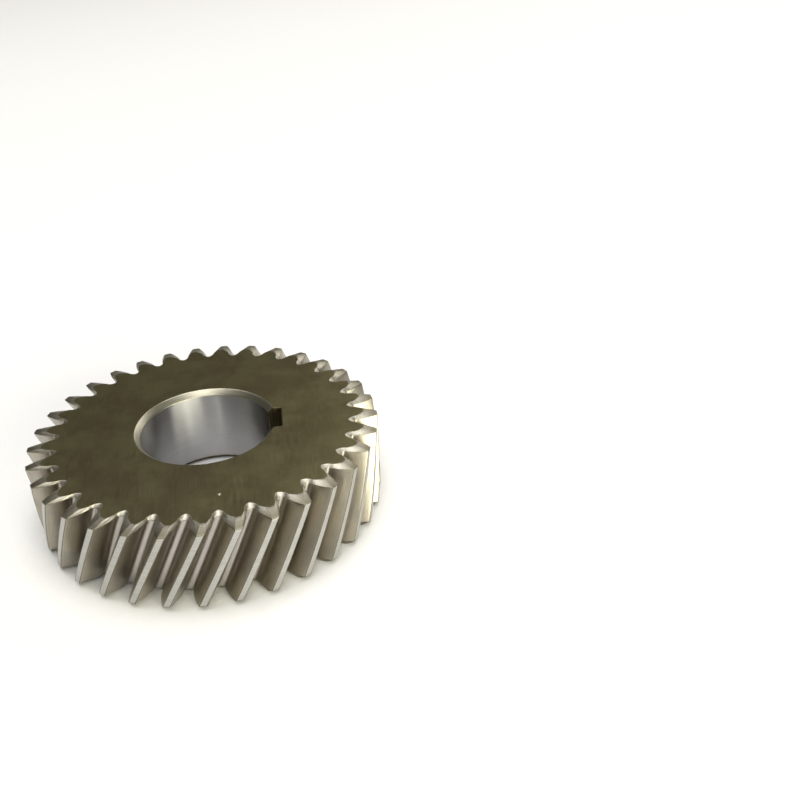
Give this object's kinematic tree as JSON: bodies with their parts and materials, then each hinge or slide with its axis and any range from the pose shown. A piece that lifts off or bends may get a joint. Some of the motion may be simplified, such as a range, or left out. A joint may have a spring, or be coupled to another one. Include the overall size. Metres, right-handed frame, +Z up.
{
  "type": "helical gear",
  "caption": "One-piece right-hand helical gear in hardened steel with a chamfered, keyed through bore, for carrying torque between parallel shafts.",
  "frame": {"origin": "where the bore's axis meets the lower end face", "axes": "+Z up along the bore's axis, +X through the middle of the keyway"},
  "size_m": [0.0988, 0.0988, 0.025],
  "materials": {
    "gear_steel": "ground end faces and bore, hobbed and shaved teeth, lightly oiled and darkened"
  },
  "bodies": {
    "root": {"helical_gear": "gear_steel"}
  },
  "joints": []
}
